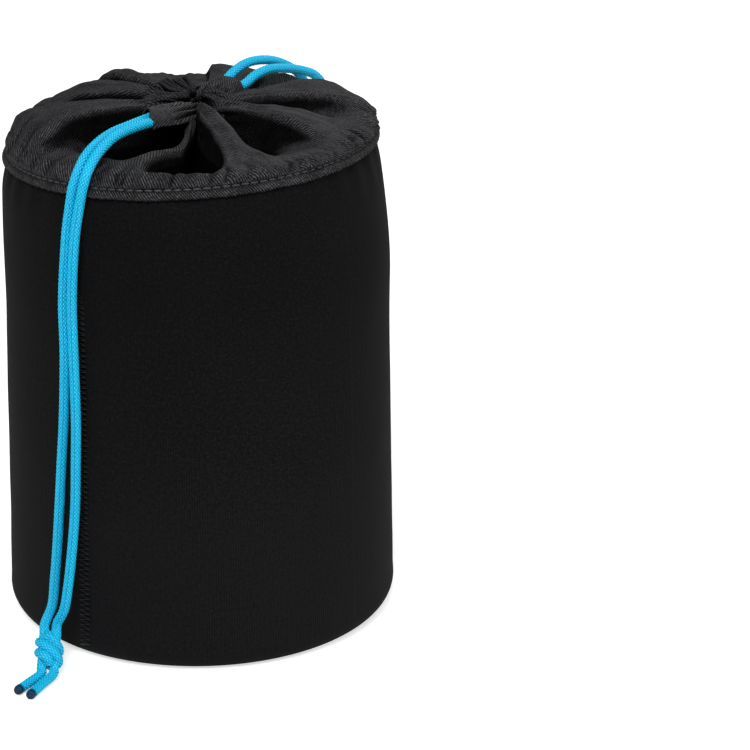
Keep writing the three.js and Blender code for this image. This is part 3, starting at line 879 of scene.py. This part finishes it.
# %% Hem fans
FAN_ROWS, FAN_COLUMNS = 46, 120
FAN_REACH = {3: 11.0, 4: 12.0, 6: 17.5, 7: 19.0, 8: 17.5}
FAN_MOUTH = 2.4
FAN_SPREAD = [20.0, 18.0, 14.0, 11.0]
FAN_SPREAD_RADII = [FAN_MOUTH, 7.0, 12.0, 19.0]
FAN_PLEATS = 3.5
FAN_CLOTH = 1.08
FAN_SINK, FAN_STEP, FAN_SIDES = 1.2, 1.6, 2.4
PLEAT_RISE, PLEAT_UNEVEN = 2.2, 0.6
HEM_BACK = np.array([-0.643, 0.766])
HEM_CLIMB = 0.14


def gathered_patch(piece, gore):
    """A patch of the hem rides on its gore."""
    mount(piece, gore, "twill")


def hem_fan(fold):
    """The pleated end of one fold, from the strap to the mouth."""
    outer = FAN_REACH[fold]
    cut = (FAN_CLOTH * outer, outer + 1.0)
    radius = np.linspace(outer, FAN_MOUTH, FAN_ROWS)
    rows = radius[:, None]
    share = np.linspace(0, 1, FAN_COLUMNS)[None, :]
    spread = np.radians(through(radius, FAN_SPREAD_RADII, FAN_SPREAD))[:, None]
    turn = ridge_angle(fold) + ridge_twist(fold, radius) + spread * (2 * share - 1)
    wander = crease_noise(turn, rows, 20.0, 16.0, 50 + fold)
    uneven = PLEAT_UNEVEN * crease_noise(turn, rows, 16.0, 9.0, 60 + fold)
    pleat = np.abs(np.sin(math.pi * (FAN_PLEATS * share + 0.6 * wander + 0.13 * fold)))
    drawn = smooth_step(outer - rows, 0.5, 7.0)
    edge = smooth_step(outer - rows, 0.0, 2.2)
    sides = smooth_step(np.abs(2 * share - 1), 0.72, 1.0)
    height = ridge_line(fold, radius) - FAN_SINK + FAN_STEP * edge + drawn * (PLEAT_RISE * pleat + uneven)
    face = round_points(rows, turn, height - FAN_SIDES * sides)
    face[..., 2] += HEM_CLIMB * drawn * (face[..., :2] @ HEM_BACK)
    uv = np.stack(np.broadcast_arrays(share * cut[0], rows), 2)
    piece = cloth_shell(f"hem_fan_{fold}", face, grid_normals(face), uv)
    # Painted shade darkens each pleat a little below its crest.
    valley = drawn * (1 - smooth_step(pleat, 0.45, 0.95))
    shade_points(piece, [valley, valley])
    gathered_patch(piece, f"gore_{fold}")
    return piece


fans = [hem_fan(fold) for fold in FAN_REACH]
print("hem fans:", len(fans), "of", len(fans[0].data.polygons), "faces")

# %% [markdown]
# ## Cords
# Each cord leaves the hem as two strands that lie side by side, cross the collar, drop down the wall and end in one
# knot on the table. A curve with a round bevel would be quicker, but the braid shows on the edge of a cord, so each
# strand is a tube of small rings pushed out where the braid's yarns cross. The routes are the same points as the
# solids'. The rear cord is written down in the front one's place and turned half round the pouch.

# %% Cord routes
KNOT_HEAD = np.array([-1.7, -72.6, 11.2])
KNOT_SLOPE = math.radians(40.0)
KNOT_TURN = math.radians(36.0)
KNOT_LENGTH = 12.0
KNOT_SIDE = np.array([math.cos(KNOT_TURN), math.sin(KNOT_TURN), 0.0])
KNOT_AXIS = np.array([math.sin(KNOT_TURN), -math.cos(KNOT_TURN), -math.tan(KNOT_SLOPE)]) * math.cos(KNOT_SLOPE)
STRAND_SPREAD = {"left": -1.9, "right": 1.9}
FRONT_CORD = {
    "left_top": [
        [-0.6, -16.6, 166.2], [-0.5, -20, 166], [0.5, -31, 165.9], [1.6, -41.5, 165.7], [3, -50, 164.4],
        [4.4, -56.4, 162.3], [5, -60.1, 159.2], [4, -61.7, 154.3], [2.9, -61.9, 149.2],
    ],
    "right_top": [
        [3.1, -18.2, 166], [3.2, -22, 165.9], [4.1, -34.5, 166.3], [5.3, -44, 166], [6.9, -51.5, 164.4],
        [8, -57, 162], [8.4, -60.3, 158.9], [7.3, -61.4, 153.8], [6.2, -61.5, 149.2],
    ],
    "left_drop": [
        [2.9, -61.9, 148.8], [1.9, -62.7, 141], [1.3, -63.1, 134], [0, -63.4, 118], [0.3, -63.8, 102],
        [-0.7, -64.2, 80], [-1.9, -64.5, 66], [-2.9, -65, 52], [-3.4, -66.2, 38], [-3.7, -67.6, 27],
        [-4, -68.9, 18.5],
    ],
    "right_drop": [
        [6.2, -61.5, 148.8], [5.2, -62.6, 141], [4.6, -63.1, 134], [3.5, -63.4, 118], [3.9, -63.8, 103],
        [4.2, -64.1, 80], [3.9, -64.5, 66], [3.5, -65, 52], [2.7, -66.2, 38], [2, -67.6, 27],
        [1, -68.9, 18.5],
    ],
}
REAR_CORD = {
    "left_top": [
        [-0.2, -16.4, 166.7], [-0.3, -19.6, 166.6], [-0.4, -24, 167.3], [-0.6, -29, 169.1],
        [-0.8, -35.6, 169.8], [-1.1, -44.4, 168.4], [-1.3, -53, 166], [-1.5, -59.2, 163.2],
        [-1.6, -63, 159.4], [-1.7, -63.8, 154.4], [-1.7, -63.6, 149.2],
    ],
    "right_top": [
        [5.2, -15.6, 166.8], [5.6, -18.6, 166.7], [6.2, -22, 167.5], [6.3, -26, 169.4], [6.2, -31, 171],
        [6, -37, 171.3], [5.8, -45.5, 169.8], [5.5, -52.5, 167], [5.2, -57.6, 163.9], [5, -61.6, 159.8],
        [5, -63, 154.4], [5, -63, 149.2],
    ],
    "left_drop": [
        [-1.7, -63.6, 148.8], [-1.6, -63.3, 120], [-1.9, -64.1, 80], [-2.6, -64.9, 50], [-3.2, -66.7, 34],
        [-3, -68.2, 22],
    ],
    "right_drop": [
        [5, -63, 148.8], [3.6, -63.3, 125], [2.6, -64, 90], [2.4, -64.9, 50], [2.2, -66.7, 34], [2, -68.2, 22],
    ],
}
SEALED_ENDS = {"left": [[3.4, -88, 1.9], [4, -94.4, 1.7]], "right": [[7.4, -87, 1.9], [9.2, -94.4, 1.7]]}


def on_knot(strand, along):
    """A point beside the knot's axis, so far along it from the head towards the table."""
    return KNOT_HEAD + KNOT_SIDE * STRAND_SPREAD[strand] + KNOT_AXIS * along


def turned(points, half_turn):
    """Points in the front cord's place, turned half round the pouch for the rear cord."""
    return np.asarray(points, float) * ([-1, -1, 1] if half_turn else [1, 1, 1])


# %% Braided tube
CORD_RADIUS = 1.5
CORD_SIDES = 36
CORD_STEP = 0.3
BRAID_RELIEF, BRAID_LEVEL = 0.2, 0.6
TIP_DRAW, TIP_LENGTH = 0.35, 0.8
FIRST_SIDE = [0.3, 0.2, 0.9]


def smooth_route(points, step=CORD_STEP):
    """Points a step apart on a smooth curve through the route's points."""
    p = np.asarray(points, float)
    p = np.vstack([2 * p[0] - p[1], p, 2 * p[-1] - p[-2]])
    found = []
    for a, b, c, d in zip(p[:-3], p[1:-2], p[2:-1], p[3:]):
        t1 = np.sqrt(np.linalg.norm(b - a))
        t2 = t1 + np.sqrt(np.linalg.norm(c - b))
        t3 = t2 + np.sqrt(np.linalg.norm(d - c))
        t = np.linspace(t1, t2, 60, endpoint=False)[:, None]
        ab, bc, cd = a + (b - a) * t / t1, b + (c - b) * (t - t1) / (t2 - t1), c + (d - c) * (t - t2) / (t3 - t2)
        abc, bcd = ab + (bc - ab) * t / t2, bc + (cd - bc) * (t - t1) / (t3 - t1)
        found.append(abc + (bcd - abc) * (t - t1) / (t2 - t1))
    line = np.vstack(found + [p[-2:-1]])
    length = lengths(line)
    even = np.linspace(0, length[-1], max(8, round(length[-1] / step)))
    return np.stack([np.interp(even, length, line[:, k]) for k in range(3)], 1)


def braid_height(around, along):
    """Where the braid's yarns stand proud, from 0 to 1; around is in turns and along in millimetres."""
    forward, backward = (np.sin(math.pi * (BRAID_AROUND * around + way * along / BRAID_PITCH)) for way in (1, -1))
    return np.abs(forward) * np.abs(backward)


def braided_tube(route, melt=0.0, start_along=0.0):
    """Points, faces, UV and length of a closed tube of braid; melt is the length of a sealed tip at its end."""
    tangent = np.gradient(route, axis=0)
    tangent /= np.linalg.norm(tangent, axis=1, keepdims=True)
    side = np.cross(tangent[0], FIRST_SIDE)
    frames = []
    for t in tangent:
        side = side - t * (side @ t)
        side /= np.linalg.norm(side)
        frames.append((side, np.cross(t, side)))
    first, second = (np.array([f[k] for f in frames]) for k in (0, 1))
    along = lengths(route)[:, None]
    length = along[-1, 0]
    around = np.arange(CORD_SIDES)[None, :] / CORD_SIDES
    sealed = smooth_step(along, length - melt, length - melt * 0.4) if melt else np.zeros(along.shape)
    relief = BRAID_RELIEF * (braid_height(around, along + start_along) - BRAID_LEVEL) * (1 - sealed)
    reach = CORD_RADIUS + relief - TIP_DRAW * sealed * smooth_step(along, length - TIP_LENGTH, length)
    turn = 2 * math.pi * around[..., None]
    ring = np.cos(turn) * first[:, None] + np.sin(turn) * second[:, None]
    points = route[:, None] + ring * reach[..., None]
    faces = [tuple(f) for f in grid_quads(len(route), CORD_SIDES, wrap=True)]
    faces.append(tuple(range(CORD_SIDES))[::-1])
    faces.append(tuple((len(route) - 1) * CORD_SIDES + k for k in range(CORD_SIDES)))
    uv = np.stack(np.broadcast_arrays(around, along + start_along), 2)
    return points.reshape(-1, 3), faces, uv.reshape(-1, 2), length


# %% Knots and sealed ends
WRAP_TURNS = 1.25
WRAP_SLANT = 1.3
WRAP_START = 0.6
WRAP_REACH = 2.9
WRAP_MARGIN = 1.6


def wrapped_knot():
    """Two strands run through the knot and two more wrap round them: routes of the four visible stretches."""
    up_axis = np.cross(KNOT_SIDE, KNOT_AXIS)
    routes = [np.linspace(on_knot(s, -0.2), on_knot(s, KNOT_LENGTH + 0.2), 60) for s in STRAND_SPREAD]
    t = np.linspace(0, 1, 110)[:, None]
    reach = WRAP_REACH * smooth_step(t, -0.02, 0.14) * (1 - 0.75 * smooth_step(t, 0.86, 1.02)) + 0.2
    for start in (0.0, math.pi):
        turn = start + WRAP_START + 2 * math.pi * WRAP_TURNS * t
        along = WRAP_MARGIN + (KNOT_LENGTH - 2 * WRAP_MARGIN) * t + WRAP_SLANT * np.cos(turn)
        routes.append(KNOT_HEAD + KNOT_AXIS * along + (KNOT_SIDE * np.cos(turn) + up_axis * np.sin(turn)) * reach)
    return routes


def join_tubes(parts):
    """Several closed tubes as the points, faces and UV of one mesh."""
    points, faces, uv, start = [], [], [], 0
    for tube_points, tube_faces, tube_uv, _ in parts:
        faces += [tuple(k + start for k in f) for f in tube_faces]
        points.append(tube_points)
        uv.append(tube_uv)
        start += len(tube_points)
    return np.vstack(points), faces, np.vstack(uv)


def add_knot(place, half_turn):
    """A cord's knot and its two sealed ends, which ride on the cord's tail."""
    tail = f"{place}_cord_tail"
    tubes = [braided_tube(turned(route, half_turn)) for route in wrapped_knot()]
    knot = make_piece(f"{place}_knot", *join_tubes(tubes), CORD)
    mount(knot, tail, "cord", f"{place}_cord_knot")
    pieces = [knot]
    for strand, points in SEALED_ENDS.items():
        route = smooth_route([on_knot(strand, KNOT_LENGTH - 0.5), on_knot(strand, KNOT_LENGTH + 1.5), *points])
        tip = braided_tube(turned(route, half_turn), melt=SEALED_LENGTH, start_along=-lengths(route)[-1])
        end = make_piece(f"{place}_{strand}_end", *tip[:3], CORD_END)
        mount(end, tail, "cord_end", f"{place}_cord_{strand}_end")
        pieces.append(end)
    return pieces


# %% [markdown]
# ## Strands
# Each strand is two tubes: the top, which crosses the collar, and the drop, which runs down the wall into the knot,
# with the braid running on from one to the other. The knot rises when the mouth opens.


def add_cord(place, routes, half_turn):
    knot_pieces = add_knot(place, half_turn)
    total = 0.0
    for strand in STRAND_SPREAD:
        top_route = turned(smooth_route(routes[f"{strand}_top"]), half_turn)
        top_tube = braided_tube(top_route)
        top = make_piece(f"{place}_{strand}_top_strand", *top_tube[:3], CORD)
        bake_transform(top)
        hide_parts(f"{place}_cord_{strand}_top")
        drop_points = [routes[f"{strand}_top"][-1], *routes[f"{strand}_drop"][1:]]
        drop_points += [on_knot(strand, -3.0), on_knot(strand, 0.3)]
        drop_route = turned(smooth_route(drop_points), half_turn)
        drop_tube = braided_tube(drop_route, start_along=top_tube[3])
        drop = make_piece(f"{place}_{strand}_drop_strand", *drop_tube[:3], CORD)
        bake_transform(drop)
        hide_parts(f"{place}_cord_{strand}_drop")
        total += top_tube[3] + drop_tube[3]
    print(place, "cord:", round(total), "millimetres of strand show above the knot")


add_cord("front", FRONT_CORD, False)
add_cord("rear", REAR_CORD, True)

# %% [markdown]
# ## Casings
# The inside of each sleeve is painted with full shade, and painted shade darkens the valleys of its pleats.
# The hem round the mouth is a tunnel for the cords. Where a cord comes out, the hem shows as a short sleeve of twill
# with an open end, gathered into pleats towards the middle. A plain bent patch would do from far off, but the dark
# open end with the two strands in it is what explains the gather, so each sleeve is an arch with its own thickness.
# Two smaller arches are loops of the hem that stand up between the folds behind the mouth.

# %% Casings
CASING_ROWS, CASING_COLUMNS = 40, 96
CASING_STEP = 0.4
CASING_PLEATS, CASING_PLEAT_RISE, CASING_PLEAT_SINK = 6, 1.6, 0.9
CASING_DENTS = ((0.5, 6.0, 41), (0.25, 2.5, 42))
DENT_WAY = np.array([0.4, -0.4, 0.8])
ARCH_START, ARCH_TURN, ARCH_POWER = 1.1, 1.12, 0.8
CASINGS = {
    "front_casing": {
        "gore": "gore_1", "half_turn": False, "half_width": 4.6, "height": 4.6, "lip": 5.0, "paleness": 0.35,
        "flat": (21.0, 17.0),
        "line": [[0.6, -21.0, 164.6], [0.9, -16.0, 164.4], [1.4, -10.0, 163.6], [1.6, -5.0, 163.2], [1.2, -2.0, 163.0]],
    },
    "rear_casing": {
        "gore": "gore_5", "half_turn": True, "half_width": 6.0, "height": 5.4, "lip": 0.0, "paleness": 0.0,
        "flat": (21.0, 17.0),
        "line": [[1.8, -19.0, 165.2], [1.8, -15.0, 165.0], [1.6, -10.0, 164.4], [1.2, -5.0, 163.6], [0.8, -2.0, 163.2]],
    },
    "hem_loop_6": {
        "gore": "gore_6", "half_turn": False, "half_width": 2.6, "height": 4.6, "lip": 0.0, "paleness": 0.2,
        "flat": (18.0, 13.0),
        "line": [[-8.0, 6.0, 165.6], [-12.0, 9.0, 165.0], [-15.0, 11.3, 163.6], [-18.0, 13.6, 161.5]],
    },
    "hem_loop_5": {
        "gore": "gore_5", "half_turn": False, "half_width": 2.3, "height": 4.2, "lip": 0.0, "paleness": 0.2,
        "flat": (17.0, 13.0),
        "line": [[-5.0, 8.2, 165.2], [-7.6, 12.3, 164.8], [-9.6, 15.4, 163.4], [-11.4, 18.4, 161.5]],
    },
}


def squared(value):
    """A sine or cosine with fuller shoulders, so that an arch is a little square."""
    return np.sign(value) * np.abs(value) ** ARCH_POWER


def casing(name, gore, half_turn, half_width, height, lip, paleness, flat, line):
    """An arch of cloth over a line from its open end to the mouth; the lip is how far one corner stands forward."""
    line = smooth_route(line, CASING_STEP)
    line = line[np.linspace(0, len(line) - 1, CASING_ROWS).round().astype(int)]
    along = np.linspace(0, 1, CASING_ROWS)[:, None]
    bend = np.linspace(0, 1, CASING_COLUMNS)[None, :]
    turn = math.pi * (ARCH_START - ARCH_TURN * bend)
    forward = np.gradient(line, axis=0)
    forward[:, 2] = 0
    forward /= np.linalg.norm(forward, axis=1, keepdims=True)
    sideways = np.cross(forward, [0, 0, 1])
    reach = squared(np.cos(turn)) * half_width * (1 - 0.45 * smooth_step(along, 0.35, 1.0))
    rise = squared(np.sin(turn)) * height * (1 - 0.25 * smooth_step(along, 0.5, 1.0))
    pleat_wave = np.abs(np.sin(math.pi * (CASING_PLEATS * bend + 0.8 * along)))
    drawn = smooth_step(along, 0.25, 0.75)
    pleat = drawn * (CASING_PLEAT_RISE * pleat_wave - CASING_PLEAT_SINK)
    arch = line[:, None] + sideways[:, None] * (reach + pleat * np.cos(turn))[..., None]
    arch = arch + np.array([0, 0, 1.0]) * (rise + pleat * np.sin(turn))[..., None]
    arch = arch - forward[:, None] * (lip * smooth_step(np.cos(turn), -0.6, 0.9) * (1 - along))[..., None]
    arch = arch + bumps(arch, CASING_DENTS)[..., None] * DENT_WAY
    uv = np.stack(np.broadcast_arrays(bend * flat[0], along * flat[1]), 2)
    piece = cloth_shell(name, turned(arch, half_turn), turned(grid_normals(arch), half_turn), uv)
    # Painted shade in the pleat valleys on the face, and full painted shade on the inside.
    valley = drawn * (1 - smooth_step(pleat_wave, 0.1, 0.65))
    # A paleness above 0 takes the painted shade below 0 on the face, which makes the cloth paler and shinier there.
    shade_points(piece, [valley - paleness, np.ones(valley.shape)])
    gathered_patch(piece, gore)
    print(name + ":", len(piece.data.polygons), "faces")


for name, sizes in CASINGS.items():
    casing(name, **sizes)

# %% [markdown]
# ## Stitches
# The stitches repeat along a line, which is work for Geometry Nodes: one tree lays a zigzag thread along the butt
# seam, and another sets a short stitch at even steps along the collar and round the base. The line itself is a plain
# curve on the cloth's surface. The result is turned into a mesh before it rides on the pouch.

# %% Stitch trees


def new_tree(name, inputs):
    """A tree with named inputs: the tree, the identifiers of its inputs, their sockets and its last node."""
    tree = bpy.data.node_groups.new(name, "GeometryNodeTree")
    tree.interface.new_socket("Geometry", in_out="INPUT", socket_type="NodeSocketGeometry")
    keys = {}
    for title, kind in inputs.items():
        keys[title] = tree.interface.new_socket(title, in_out="INPUT", socket_type="NodeSocket" + kind).identifier
    tree.interface.new_socket("Geometry", in_out="OUTPUT", socket_type="NodeSocketGeometry")
    return tree, keys, tree.nodes.new("NodeGroupInput").outputs, tree.nodes.new("NodeGroupOutput")


def paint(tree, geometry, finish, last):
    """Sets the finish and ends the tree."""
    painted = add_node(tree, "GeometryNodeSetMaterial", {"Geometry": geometry, "Material": finish})
    feed(tree, last, {"Geometry": painted.outputs["Geometry"]})


def stepped(tree, curve, step):
    """The curve as points a step apart."""
    inputs = {"Curve": curve, "Length": step}
    return add_node(tree, "GeometryNodeResampleCurve", inputs, mode="LENGTH").outputs["Curve"]


def zigzag_tree():
    """Every second point of the line goes to the other side, and a round thread follows them."""
    inputs = {"Half Pitch": "Float", "Side": "Vector", "Thread Radius": "Float", "Finish": "Material"}
    tree, keys, given, last = new_tree("zigzag_thread", inputs)
    points = stepped(tree, given["Geometry"], given["Half Pitch"])
    number = add_node(tree, "GeometryNodeInputIndex").outputs["Index"]
    odd = add_node(tree, "ShaderNodeMath", {0: number, 1: 2.0}, operation="MODULO").outputs[0]
    sign = add_node(tree, "ShaderNodeMapRange", {"Value": odd, "To Min": -1.0}).outputs["Result"]
    shift = add_node(tree, "ShaderNodeVectorMath", {0: given["Side"], "Scale": sign}, operation="SCALE")
    moved = add_node(tree, "GeometryNodeSetPosition", {"Geometry": points, "Offset": shift.outputs["Vector"]})
    ring = add_node(tree, "GeometryNodeCurvePrimitiveCircle", {"Resolution": 8, "Radius": given["Thread Radius"]})
    thread = add_node(tree, "GeometryNodeCurveToMesh", {
        "Curve": moved.outputs["Geometry"], "Profile Curve": ring.outputs["Curve"], "Fill Caps": True})
    real = add_node(tree, "GeometryNodeRealizeInstances", {"Geometry": thread.outputs["Mesh"]})
    paint(tree, real.outputs["Geometry"], given["Finish"], last)
    return tree, keys


def running_tree():
    """A short round stitch at each step of the line, turned along it."""
    inputs = {"Stitch Step": "Float", "Stitch Size": "Vector", "Finish": "Material"}
    tree, keys, given, last = new_tree("running_stitch", inputs)
    points = stepped(tree, given["Geometry"], given["Stitch Step"])
    stitch = add_node(tree, "GeometryNodeMeshUVSphere", {"Segments": 8, "Rings": 6, "Radius": 1.0})
    along = add_node(tree, "GeometryNodeInputTangent").outputs["Tangent"]
    turn = add_node(tree, "FunctionNodeAlignRotationToVector", {"Vector": along}, axis="Z")
    placed = add_node(tree, "GeometryNodeInstanceOnPoints", {
        "Points": points, "Instance": stitch.outputs["Mesh"], "Rotation": turn.outputs["Rotation"],
        "Scale": given["Stitch Size"]})
    real = add_node(tree, "GeometryNodeRealizeInstances", {"Geometry": placed.outputs["Instances"]})
    smooth = add_node(tree, "GeometryNodeSetShadeSmooth", {"Geometry": real.outputs["Geometry"]})
    paint(tree, smooth.outputs["Geometry"], given["Finish"], last)
    return tree, keys


def curve_through(name, points, closed):
    data = bpy.data.curves.new(name, "CURVE")
    data.dimensions = "3D"
    spline = data.splines.new("POLY")
    spline.points.add(len(points) - 1)
    for point, place in zip(spline.points, points):
        point.co = (*(np.asarray(place) * MM), 1.0)
    spline.use_cyclic_u = closed
    line = bpy.data.objects.new(name, data)
    scene.collection.objects.link(line)
    return line


def sew(name, node, points, closed, tree_and_keys, values):
    """Runs a stitch tree along a line, keeps the result as a mesh and lets it ride on the pouch."""
    tree, keys = tree_and_keys
    line = curve_through(name + "_line", settled(points), closed)
    modifier = line.modifiers.new("stitches", "NODES")
    modifier.node_group = tree
    for title, value in {**values, "Finish": THREAD}.items():
        modifier[keys[title]] = value
    depsgraph = bpy.context.evaluated_depsgraph_get()
    mesh = bpy.data.meshes.new_from_object(line.evaluated_get(depsgraph))
    bpy.data.objects.remove(line)
    mesh.name = name
    piece = bpy.data.objects.new(name, mesh)
    scene.collection.objects.link(piece)
    mount(piece, "pouch", "thread", node)
    print(name + ":", len(mesh.polygons), "faces")


# %% Sew the seams
ZIGZAG_WIDTH = 3.8
ZIGZAG_PITCH = 1.7
ZIGZAG_THREAD = 0.27
ZIGZAG_PROUD = 0.35
SEAM_ENDS = (4.5, 145.0)
STITCH_SIZE = Vector((0.42, 0.42, 1.3)) * MM
STITCH_PROUD, STITCH_SWAY = 0.12, 0.06
BASE_STITCH_HEIGHT = 5.0

seam_heights = np.linspace(*SEAM_ENDS, 220)
under_corner = np.maximum(CORNER_RADIUS - seam_heights, 0)
turned_in = CORNER_RADIUS - np.sqrt(CORNER_RADIUS**2 - under_corner**2)
seam_radius = wall_radius(seam_heights) - turned_in - SEAM_DIP * smooth_step(seam_heights, *FOAM_RISE) + ZIGZAG_PROUD
seam_side = Vector((-math.sin(SEAM_ANGLE), math.cos(SEAM_ANGLE), 0)) * (ZIGZAG_WIDTH / 2 * MM)
sew("side_seam", "side_seam_thread", round_points(seam_radius, SEAM_ANGLE, seam_heights), False, zigzag_tree(),
    {"Half Pitch": ZIGZAG_PITCH / 2 * MM, "Side": seam_side, "Thread Radius": ZIGZAG_THREAD * MM})

running = running_tree()
even_stitches = {"Stitch Step": STITCH_STEP * MM, "Stitch Size": STITCH_SIZE}
stitch_turn = np.linspace(0, 2 * math.pi, 720, endpoint=False)
stitch_radius = band_face(STITCH_HEIGHT) + STITCH_PROUD + STITCH_SWAY * pucker(stitch_turn)
collar_line = round_points(stitch_radius, stitch_turn, STITCH_HEIGHT)
sew("collar_stitches", "collar_topstitch", collar_line, True, running, even_stitches)
base_line = round_points(DISC_RADIUS, stitch_turn[::2], BASE_STITCH_HEIGHT)
sew("base_stitches", "base_seam_thread", base_line, True, running, even_stitches)
